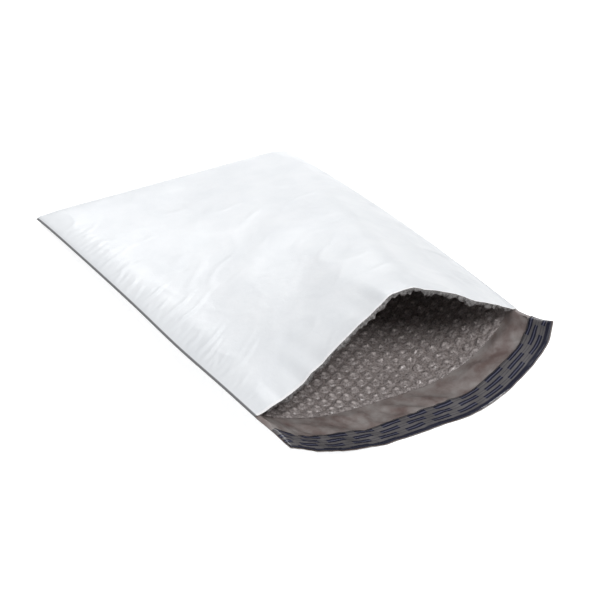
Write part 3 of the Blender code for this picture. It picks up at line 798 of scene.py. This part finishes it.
def bubble_points(near):
    """A mesh of bare points, one for each bubble, with what the node tree reads."""
    rng = np.random.default_rng(17 if near else 18)
    parts = []
    for upper in (True, False):
        address = lattice(upper)
        u, v = address[:, 0], address[:, 1]
        end = POCKET_LENGTH if upper else LINING_END
        keep = (end - v < NEAR_MOUTH) == near
        u, v = u[keep], v[keep]
        slack = slackness(u, v, upper, rng)
        loss = SLACK_LOSS * slack * rng.uniform(0, 1, len(u))
        tall = bubble_room(u, v) * (DOME_SHARE - loss)
        parts.append((*bubble_seat(u, v, upper), tall, slack))
    place, inward, tall, slack = (np.concatenate(part) for part in zip(*parts))
    mesh = bpy.data.meshes.new("bubble_lattice")
    mesh.from_pydata(place.tolist(), [], [])
    for name, kind, field, values in (("inward", "FLOAT_VECTOR", "vector", inward.ravel()),
                                      ("tall", "FLOAT", "value", tall),
                                      ("slack", "FLOAT", "value", slack)):
        mesh.attributes.new(name, kind, "POINT").data.foreach_set(field, values)
    return new_object("bubble_lattice", mesh)


# %% Node tree that blows the bubbles
# Noise over this dents a slack bubble, noise under it lets the bubble bulge a little, and
# no dent takes more than this share of its height
DENT_START = 0.42
LEAST_BULGE = 0.05
DEEPEST_DENT = 0.8


def bubble_tree(skin):
    group, start, finish = new_group("blow_bubbles", "GeometryNodeTree", [
        ("Geometry", "IN", "NodeSocketGeometry", None),
        ("Radius", "IN", "NodeSocketFloat", BUBBLE_RADIUS),
        ("Segments", "IN", "NodeSocketInt", 16),
        ("Rings", "IN", "NodeSocketInt", 12),
        ("Fullness", "IN", "NodeSocketFloat", 0.94),
        ("Softness", "IN", "NodeSocketFloat", 1.7),
        ("Crumple", "IN", "NodeSocketFloat", 6.0),
        ("Crumple Size", "IN", "NodeSocketFloat", 560.0),
        ("Geometry", "OUT", "NodeSocketGeometry", None),
    ])
    given = start.outputs
    calc = partial(math_node, group)
    ball = put(group, "GeometryNodeMeshUVSphere", Segments=given["Segments"], Rings=given["Rings"],
               Radius=1.0)
    xyz = put(group, "ShaderNodeSeparateXYZ", Vector=put(group, "GeometryNodeInputPosition"))
    below = calc("LESS_THAN", xyz.outputs["Z"], -0.01)
    dome = put(group, "GeometryNodeDeleteGeometry", Geometry=ball, Selection=below,
               set_domain="POINT")

    # The radius is raised to a power below one, which fills the dome, and the height to
    # one above it, which softens its foot, as on bubbles that have lost some of their air
    squares = [calc("POWER", calc("ABSOLUTE", xyz.outputs[axis]), 2.0) for axis in "XY"]
    flat = calc("SQRT", calc("ADD", *squares))
    wider = calc("DIVIDE", calc("POWER", flat, given["Fullness"]), flat)
    shaped = put(group, "ShaderNodeCombineXYZ",
                 X=calc("MULTIPLY", xyz.outputs["X"], wider),
                 Y=calc("MULTIPLY", xyz.outputs["Y"], wider),
                 Z=calc("POWER", calc("MAXIMUM", xyz.outputs["Z"], 0.0), given["Softness"]))
    dome = put(group, "GeometryNodeSetPosition", Geometry=dome, Position=shaped)
    rise = put(group, "ShaderNodeSeparateXYZ", Vector=put(group, "GeometryNodeInputPosition"))
    dome = put(group, "GeometryNodeStoreNamedAttribute", Geometry=dome, Name="rise",
               Value=rise.outputs["Z"], set_data_type="FLOAT", set_domain="POINT")

    inward, tall, slack, height = (
        put(group, "GeometryNodeInputNamedAttribute", Name=name, set_data_type=kind)
        for name, kind in (("inward", "FLOAT_VECTOR"), ("tall", "FLOAT"), ("slack", "FLOAT"),
                           ("rise", "FLOAT")))
    up = put(group, "FunctionNodeAlignRotationToVector", Vector=inward, set_axis="Z")
    size = put(group, "ShaderNodeCombineXYZ", X=given["Radius"], Y=given["Radius"], Z=tall)
    field = put(group, "GeometryNodeInstanceOnPoints", Points=given["Geometry"], Instance=dome,
                Rotation=up, Scale=size)
    field = put(group, "GeometryNodeRealizeInstances", Geometry=field)

    # Slack bubbles are dented inward along their own direction, never at their base
    dents = put(group, "ShaderNodeTexNoise", Scale=given["Crumple Size"], Detail=2.0)
    dent = calc("MAXIMUM", calc("SUBTRACT", dents.outputs[0], DENT_START), -LEAST_BULGE)
    push = calc("MULTIPLY", calc("MULTIPLY", dent, slack), given["Crumple"])
    push = calc("MINIMUM", push, DEEPEST_DENT)
    push = calc("MULTIPLY", push, calc("MULTIPLY", height, tall))
    offset = put(group, "ShaderNodeVectorMath", set_operation="SCALE")
    wire(group, inward, offset.inputs[0])
    wire(group, calc("MULTIPLY", push, -1.0), offset.inputs["Scale"])
    field = put(group, "GeometryNodeSetPosition", Geometry=field, Offset=offset)
    field = put(group, "GeometryNodeSetShadeSmooth", Geometry=field)
    field = put(group, "GeometryNodeSetMaterial", Geometry=field, Material=skin)
    wire(group, field, finish.inputs["Geometry"])
    return group


def set_input(modifier, name, value):
    """Set a modifier's input by its socket's identifier, found by the input's name."""
    for item in modifier.node_group.interface.items_tree:
        if item.item_type == "SOCKET" and item.in_out == "INPUT" and item.name == name:
            modifier[item.identifier] = value


def evaluated_mesh(item):
    """The mesh that an object's modifiers make, as a plain mesh."""
    bpy.context.view_layer.update()
    graph = bpy.context.evaluated_depsgraph_get()
    made = bpy.data.meshes.new_from_object(item.evaluated_get(graph), depsgraph=graph)
    item.modifiers.clear()
    bpy.data.objects.remove(item, do_unlink=True)
    return made


bubble_skin = bpy.data.materials.new("bubble_skin")
blower = bubble_tree(bubble_skin)
DOME_DETAIL = {True: (16, 12), False: (8, 6)}
dome_meshes = []
for near, (segments, rings) in DOME_DETAIL.items():
    carrier = bubble_points(near)
    bubbles = len(carrier.data.vertices)
    modifier = carrier.modifiers.new("bubbles", "NODES")
    modifier.node_group = blower
    set_input(modifier, "Segments", segments)
    set_input(modifier, "Rings", rings)
    dome_meshes.append(evaluated_mesh(carrier))
    print("bubbles", bubbles, "with", triangles(dome_meshes[-1]), "triangles")

# %% [markdown]
# ## The lining's cut edges
# Where the sheet was cut across, the knife went through a row of bubbles. They are open
# and limp there, and show as a ragged, milky rim just inside the mouth. Each cut edge is
# a narrow height field: half domes, pulled down by a different amount one by one.

# %% Rims of cut bubbles
RIM_LIFT = 0.00005
RIM_FINE = 0.0007
RIM_ROWS = MM * np.array([0.0, 0.0, 0.5, 1.1, 1.8, 2.6, 3.4, 4.1, 4.7, 5.1])
RIM_POWER = 2.8
RUFFLE = 0.6 * MM
# The rim's height: at least this, and at most this share of the room
LEAST_RIM = 0.12 * MM
MOST_RIM = 1.2


def rim_sheet(upper, seed, fullness):
    """The half domes along one cut edge, as points and faces of an open strip."""
    end = (POCKET_LENGTH if upper else LINING_END) - MOUTH_INSET / 2
    u = stations(WEB_SIDE + 0.002, FLAT_WIDTH - WEB_SIDE - 0.002, RIM_FINE)
    v = end - RIM_ROWS
    grid_u, grid_v = np.meshgrid(u, v)
    back = end - grid_v
    room = bubble_room(grid_u, grid_v)
    spacing = 2 * COLUMN_STEP
    nearest = np.round((grid_u - FLAT_WIDTH / 2) / spacing).astype(int)
    limp = np.random.default_rng(seed).uniform(0.6, 1.0, 40)[nearest + 20]
    away = np.hypot(grid_u - FLAT_WIDTH / 2 - nearest * spacing, back)
    dome = np.clip(1 - (away / BUBBLE_RADIUS) ** RIM_POWER, 0, 1) ** (1 / RIM_POWER) * limp
    frill = (0.75 * np.exp(-(back / 0.0016) ** 2)
             * (0.6 + cloud(grid_u, grid_v, 0.004, seed + 5)))
    ragged = 1 + 0.5 * cloud(grid_u, grid_v, 0.0022, seed, 0.3)
    limit = 0.6 * cloud(grid_u, 0 * grid_v, 0.003, seed + 7)
    collapsed = 0.5 + 0.5 * smooth(back / 0.0013 + limit)
    height = fullness * room * np.maximum(dome, frill) * ragged * collapsed
    height = np.clip(height, LEAST_RIM, room * MOST_RIM)
    ruffle = RUFFLE * cloud(grid_u, grid_v * 0.3, 0.004, seed + 3) * smooth(1 - back / 0.003)
    if upper:
        height[0] = 0.0
    else:
        height *= smooth(back / 0.003)
    depth = web_depth(grid_u, grid_v, upper) - WEB_SKIN - RIM_LIFT - height
    if upper:
        # The first row reaches up to the film, so the cut face has no gap
        depth[0] = film_depth(grid_u[0], grid_v[0], True) - FILM_SKIN - RIM_LIFT
    points = raised(grid_u, grid_v + ruffle, upper, depth)
    faces = grid_faces(len(v), len(u), 0, not upper)
    return build_mesh("rim", points, faces)


rim_meshes = [rim_sheet(True, seed=41, fullness=1.35), rim_sheet(False, seed=43, fullness=0.4)]
print("rims", sum(triangles(mesh) for mesh in rim_meshes), "triangles")

# %% Join the lining
def join(name, meshes, material_of):
    """One mesh from several, with a material slot for each."""
    shape = bmesh.new()
    for slot_number, mesh in enumerate(meshes):
        before = len(shape.faces)
        shape.from_mesh(mesh)
        shape.faces.ensure_lookup_table()
        for face in shape.faces[before:]:
            face.material_index = slot_number
            face.smooth = True
    joined = bpy.data.meshes.new(name)
    shape.to_mesh(joined)
    shape.free()
    for mesh in meshes:
        bpy.data.meshes.remove(mesh)
    for material in material_of:
        joined.materials.append(material)
    return joined


web_skin = bpy.data.materials.new("web_skin")
rim_skin = bpy.data.materials.new("rim_skin")
lining_mesh = join("bubble_lining", [*dome_meshes, web_mesh, *rim_meshes],
                   [bubble_skin, bubble_skin, web_skin, rim_skin, bubble_skin])
bubble_lining = new_object("bubble_lining", lining_mesh)
print("lining", triangles(lining_mesh), "triangles")

# %% [markdown]
# ## Glue band and peel-off strip
# A band of hot-melt glue lies on the lip's inner face, and a thin printed strip covers
# it until the mailer is used. Both are cut from the same address space, at the depths
# that the solids have, and add the lip's wrinkles, so the strip buckles with the lip.


# %% Bands on the lip
BAND_STEP = 0.0022


def lip_band(name, side, low, high, gap, thickness):
    """A closed band on the lip's inner face, with UVs in metres along and across it."""
    u = stations(side, FLAT_WIDTH - side, BAND_STEP)
    v = stations(low, high, BAND_STEP)
    grid_u, grid_v = np.meshgrid(u, v)
    height = film_height(grid_u, grid_v, False, folds_of[False])
    depth = build_up(grid_u, grid_v) + height - gap
    near = raised(grid_u, grid_v, False, depth)
    far = raised(grid_u, grid_v, False, depth - thickness)
    address = np.stack([grid_u, grid_v - low], axis=-1)
    return new_object(name, closed_sheet(name, near, far, address))


STRIP_START = LIP_END - STRIP_WIDTH
GLUE_FILM = 0.0003
STRIP_FILM = 0.0002
STRIP_SIDE = 0.0004
STRIP_TRIM = 0.0003
glue_band = lip_band("glue_band", LINING_EDGE, STRIP_START + GLUE_INSET, LIP_END - GLUE_INSET,
                     GAP, GLUE_FILM)
peel_strip = lip_band("peel_strip", STRIP_SIDE, STRIP_START, LIP_END - STRIP_TRIM,
                      2 * GAP + GLUE_FILM, STRIP_FILM)
print("strip", triangles(peel_strip.data), "triangles")

# %% [markdown]
# ## Film materials
# Every film here is thin plastic: smooth, with a soft gloss, a fine crinkle and faint
# cloudy patches. One shader group gives the crinkle and the patches to all of them, each
# with its own sizes. A second group finds a narrow band along the left seam from the flat
# address, where shade is painted, and a third draws the dashes on the strip.

# %% Shared groups
def film_grain_group():
    """Crinkle height and cloudy patches, both from about 0 to 1."""
    group, start, finish = new_group("film_grain", "ShaderNodeTree", [
        ("Vector", "IN", "NodeSocketVector", None),
        ("Crinkle Scale", "IN", "NodeSocketFloat", 160.0),
        ("Patch Scale", "IN", "NodeSocketFloat", 30.0),
        ("Crinkle", "OUT", "NodeSocketFloat", None),
        ("Patches", "OUT", "NodeSocketFloat", None),
    ])
    given = start.outputs
    calc = partial(math_node, group)
    broad = put(group, "ShaderNodeTexNoise", Vector=given["Vector"], Scale=given["Crinkle Scale"],
                Detail=3.0, Roughness=0.55, Distortion=0.6)
    cells = put(group, "ShaderNodeTexVoronoi", Vector=given["Vector"],
                Scale=given["Crinkle Scale"], set_feature="SMOOTH_F1")
    crinkle = calc("ADD", calc("MULTIPLY", broad.outputs[0], 0.65),
                   calc("MULTIPLY", cells.outputs[0], 0.35))
    patches = put(group, "ShaderNodeTexNoise", Vector=given["Vector"], Scale=given["Patch Scale"],
                  Detail=4.0, Roughness=0.6)
    ranged = put(group, "ShaderNodeMapRange", Value=patches.outputs[0],
                 From_Min=0.32, From_Max=0.68)
    wire(group, crinkle, finish.inputs["Crinkle"])
    wire(group, ranged.outputs[0], finish.inputs["Patches"])
    return group


def seam_shade_group():
    """One on a narrow band along the left seam, where shade is painted, from the flat address in
    metres.
    """
    group, start, finish = new_group("seam_shade", "ShaderNodeTree", [
        ("Address", "IN", "NodeSocketVector", None),
        ("Band", "IN", "NodeSocketFloat", 0.0016),
        ("Softness", "IN", "NodeSocketFloat", 0.0010),
        ("Mask", "OUT", "NodeSocketFloat", None),
        ("Along", "OUT", "NodeSocketFloat", None),
    ])
    given = start.outputs
    calc = partial(math_node, group)
    address = put(group, "ShaderNodeSeparateXYZ", Vector=given["Address"])
    past = calc("SUBTRACT", address.outputs["X"], given["Band"])
    share = calc("DIVIDE", past, given["Softness"])
    clear = put(group, "ShaderNodeMapRange", set_interpolation_type="SMOOTHSTEP", Value=share)
    wire(group, calc("SUBTRACT", 1.0, clear.outputs[0]), finish.inputs["Mask"])
    wire(group, address.outputs["Y"], finish.inputs["Along"])
    return group


def dash_group():
    """Printed dashes: pairs of lines, broken in dashes and shifted from pair to pair."""
    group, start, finish = new_group("strip_dashes", "ShaderNodeTree", [
        ("Across", "IN", "NodeSocketFloat", 0.0),
        ("Along", "IN", "NodeSocketFloat", 0.0),
        ("Pair Pitch", "IN", "NodeSocketFloat", 0.0066),
        ("Line Place", "IN", "NodeSocketFloat", 0.0017),
        ("Line Gap", "IN", "NodeSocketFloat", 0.0025),
        ("Line Width", "IN", "NodeSocketFloat", 0.0016),
        ("Period", "IN", "NodeSocketFloat", 0.0245),
        ("Dash", "IN", "NodeSocketFloat", 0.0165),
        ("Shift", "IN", "NodeSocketFloat", 0.26),
        ("Blur", "IN", "NodeSocketFloat", 0.00012),
        ("Mask", "OUT", "NodeSocketFloat", None),
        ("Tint", "OUT", "NodeSocketFloat", None),
    ])
    given = start.outputs
    calc = partial(math_node, group)

    def near(distance, size, share):
        """One where a distance is under a share of a size, with a soft edge."""
        inside = calc("SUBTRACT", calc("MULTIPLY", given[size], share), distance)
        return put(group, "ShaderNodeMapRange", Value=calc("DIVIDE", inside, given["Blur"]),
                   From_Min=-1.0, From_Max=1.0).outputs[0]

    def apart(first, second):
        return calc("ABSOLUTE", calc("SUBTRACT", first, second))

    pair = calc("FLOOR", calc("DIVIDE", given["Across"], given["Pair Pitch"]))
    place = calc("SUBTRACT", given["Across"], calc("MULTIPLY", pair, given["Pair Pitch"]))
    other_line = calc("ADD", given["Line Place"], given["Line Gap"])
    off_line = calc("MINIMUM", apart(place, given["Line Place"]), apart(place, other_line))
    turn = calc("ADD", calc("DIVIDE", given["Along"], given["Period"]),
                calc("MULTIPLY", pair, given["Shift"]))
    from_middle = calc("MULTIPLY", apart(calc("FRACT", turn), 0.5), given["Period"])

    # Each line is full in its dashes and a faint hairline between them
    dashes = near(from_middle, "Dash", 0.5)
    full = calc("MULTIPLY", near(off_line, "Line Width", 0.5), dashes)
    hairline = calc("MULTIPLY", near(off_line, "Line Width", 0.2), 0.5)
    wire(group, calc("MAXIMUM", full, hairline), finish.inputs["Mask"])

    # The ground between the two lines of a pair is tinted along their dashes
    middle = calc("MULTIPLY_ADD", given["Line Gap"], 0.5, given["Line Place"])
    between = near(apart(place, middle), "Line Gap", 0.5)
    wire(group, calc("MULTIPLY", between, dashes), finish.inputs["Tint"])
    return group


grain_group, seam_shade_tree, print_group = film_grain_group(), seam_shade_group(), dash_group()
print("groups", [group.name for group in (grain_group, seam_shade_tree, print_group)])


# %% One film finish, many colours
def mixed_colour(tree, first, second, factor):
    node = put(tree, "ShaderNodeMix", set_data_type="RGBA")
    wire(tree, factor, node.inputs["Factor"])
    for value, socket in ((first, node.inputs[6]), (second, node.inputs[7])):
        wire(tree, value, socket)
    return node.outputs[2]


# Dark and light colour of the patches, least and most roughness, scale of the crinkle and
# of the patches, and height of the crinkle in metres
FINISHES = {
    "white_film": ((0.80, 0.82, 0.845), (0.86, 0.875, 0.895), 0.30, 0.42, 190.0, 26.0, 0.00018),
    "taupe_film": ((0.165, 0.122, 0.113), (0.315, 0.290, 0.280), 0.34, 0.50, 240.0, 62.0, 0.0004),
    "bubble_skin": ((0.120, 0.100, 0.096), (0.450, 0.405, 0.395), 0.28, 0.42, 520.0, 560.0, 0.0006),
    "web_skin": ((0.150, 0.126, 0.120), (0.400, 0.355, 0.342), 0.20, 0.35, 420.0, 560.0, 0.0005),
    "rim_skin": ((0.025, 0.022, 0.021), (0.30, 0.285, 0.28), 0.16, 0.36, 420.0, 360.0, 0.0008),
    "glue_skin": ((0.42, 0.39, 0.31), (0.50, 0.47, 0.39), 0.45, 0.60, 260.0, 80.0, 0.0004),
    "strip_print": ((0.112, 0.106, 0.108), (0.172, 0.163, 0.167), 0.16, 0.28, 210.0, 40.0, 0.0002),
}
# The first three colours are painted light: a highlight on the mouth's edge, shade on the left seam
# and a highlight on the bubbles' crowns. The last two are print.
EDGE_HIGHLIGHT = (0.98, 0.975, 0.98, 1.0)
SEAM_SHADE = (0.20, 0.20, 0.205, 1.0)
CROWN_HIGHLIGHT = (0.90, 0.82, 0.80, 1.0)
NAVY = (0.022, 0.023, 0.040, 1.0)
DASH_GROUND = (0.115, 0.118, 0.165, 1.0)


def film_finish(name):
    """A film's material, with its tree, its shader, its colour so far and its crinkle."""
    dark, light, smoothest, roughest, crinkle_scale, patch_scale, bump = FINISHES[name]
    material = bpy.data.materials.get(name) or bpy.data.materials.new(name)
    material.use_nodes = True
    tree = material.node_tree
    shader = tree.nodes["Principled BSDF"]
    place = put(tree, "ShaderNodeTexCoord").outputs["Object"]
    grain = put(tree, "ShaderNodeGroup", set_node_tree=grain_group, Vector=place,
                Crinkle_Scale=crinkle_scale, Patch_Scale=patch_scale)
    patches, crinkle = grain.outputs["Patches"], grain.outputs["Crinkle"]
    colour = mixed_colour(tree, (*dark, 1.0), (*light, 1.0), patches)
    wire(tree, colour, shader.inputs["Base Color"])
    rough = put(tree, "ShaderNodeMapRange", Value=crinkle, From_Min=0.25, From_Max=0.75,
                To_Min=smoothest, To_Max=roughest)
    wire(tree, rough.outputs[0], shader.inputs["Roughness"])
    relief = put(tree, "ShaderNodeBump", Height=crinkle, Strength=1.0, Distance=bump)
    wire(tree, relief, shader.inputs["Normal"])
    return material, tree, shader, colour, crinkle


# %% Outer film
white_film, tree, shader, colour, _ = film_finish("white_film")
flat_address = put(tree, "ShaderNodeUVMap", set_uv_map="flat")
seam_shade_node = put(tree, "ShaderNodeGroup", set_node_tree=seam_shade_tree, Address=flat_address)
from_mouth = math_node(tree, "ABSOLUTE", math_node(tree, "SUBTRACT", seam_shade_node.outputs["Along"],
                                                   POCKET_LENGTH))
# Painted highlight: the film turns near white over its last few millimetres before the mouth's
# edge.
edge_highlight_mask = put(tree, "ShaderNodeMapRange", Value=from_mouth, From_Min=0.0044, From_Max=0.0028)
colour = mixed_colour(tree, colour, EDGE_HIGHLIGHT, edge_highlight_mask.outputs[0])
# Painted shade: a dark grey line along the left seam only.
wire(tree, mixed_colour(tree, colour, SEAM_SHADE, seam_shade_node.outputs["Mask"]),
     shader.inputs["Base Color"])

taupe_film = film_finish("taupe_film")[0]
film_mesh.materials.append(white_film)
film_mesh.materials.append(taupe_film)
# The outer grid's faces come first, then the inner grid's, then the border's
row_faces = len(film_u) - 1
grid_count = row_faces * (len(film_v) - 1)
slots = np.zeros(len(film_mesh.polygons), dtype=int)
slots[grid_count:] = 1
slots[grid_count:grid_count + row_faces] = 0
slots[2 * grid_count:2 * grid_count + row_faces] = 0
film_mesh.polygons.foreach_set("material_index", slots)

# %% Bubbles, cut rims and glue
COAT = 0.3
COAT_ROUGHNESS = 0.2
# How the painted highlight on the bubbles' crowns falls off, and its share on firm bubbles
CROWN_HIGHLIGHT_POWER = 2.2
FULL_CROWN_HIGHLIGHT = 0.85

_, tree, shader, colour, crinkle = film_finish("bubble_skin")
shader.inputs["Coat Weight"].default_value = COAT
shader.inputs["Coat Roughness"].default_value = COAT_ROUGHNESS
# The crowns of the bubbles get a painted highlight: all over on firm ones, in spots on slack ones
rise = put(tree, "ShaderNodeAttribute", set_attribute_name="rise")
slack = put(tree, "ShaderNodeAttribute", set_attribute_name="slack")
crown = put(tree, "ShaderNodeMapRange", Value=rise.outputs["Fac"], From_Min=0.74, From_Max=1.0)
crown = math_node(tree, "POWER", crown.outputs[0], CROWN_HIGHLIGHT_POWER)
spots = put(tree, "ShaderNodeMapRange", Value=crinkle, From_Min=0.38, From_Max=0.60)
share = put(tree, "ShaderNodeMix", Factor=slack.outputs["Fac"], A=FULL_CROWN_HIGHLIGHT, B=spots)
highlighted_colour = mixed_colour(tree, colour, CROWN_HIGHLIGHT, math_node(tree, "MULTIPLY", crown, share.outputs[0]))
wire(tree, highlighted_colour, shader.inputs["Base Color"])
film_finish("web_skin")
film_finish("rim_skin")
glue_band.data.materials.append(film_finish("glue_skin")[0])

# %% Printed strip
EDGE_LINE = 0.0020
EDGE_LINE_SLOPE = -0.012
EDGE_LINE_BLUR = 0.0006

strip_print, tree, shader, colour, _ = film_finish("strip_print")
flat_address = put(tree, "ShaderNodeUVMap", set_uv_map="flat")
address = put(tree, "ShaderNodeSeparateXYZ", Vector=flat_address)
along, across = address.outputs["X"], address.outputs["Y"]
dashes = put(tree, "ShaderNodeGroup", set_node_tree=print_group, Along=along, Across=across)
colour = mixed_colour(tree, colour, DASH_GROUND, dashes.outputs["Tint"])
# The dark line along the free edge widens from left to right. The widening part is painted shade
line_start = math_node(tree, "MULTIPLY_ADD", along, EDGE_LINE_SLOPE, STRIP_WIDTH - EDGE_LINE)
edge_line = put(tree, "ShaderNodeMapRange", Value=math_node(tree, "SUBTRACT", across, line_start),
                From_Min=-EDGE_LINE_BLUR, From_Max=EDGE_LINE_BLUR)
dashes_and_edge_line = math_node(tree, "MAXIMUM", dashes.outputs["Mask"], edge_line.outputs[0])
wire(tree, mixed_colour(tree, colour, NAVY, dashes_and_edge_line), shader.inputs["Base Color"])
peel_strip.data.materials.append(strip_print)
print("finishes", list(FINISHES))

# %% [markdown]
# ## The finished pieces on the frame
# Each row gives a finished piece, the solid it stands for and that solid's material
# slot. The piece is attached to the frame's root, and the solid is hidden. The film is
# one sheet, cut 267 mm wide and folded once.

PIECES = [
    (film_pouch, "outer_film", "white_film"),
    (bubble_lining, "bubble_liner", "bubble_film"),
    (glue_band, "adhesive_strip", "hot_melt_glue"),
    (peel_strip, "release_strip", "strip_film"),
]
for piece, node, slot in PIECES:
    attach(piece, "root")
    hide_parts(node)
print("pieces", {piece.name: triangles(piece.data) for piece, _, _ in PIECES})
print("lowest, mm", {piece.name: round(min(point.co.z for point in piece.data.vertices) / MM, 2)
                     for piece, _, _ in PIECES})
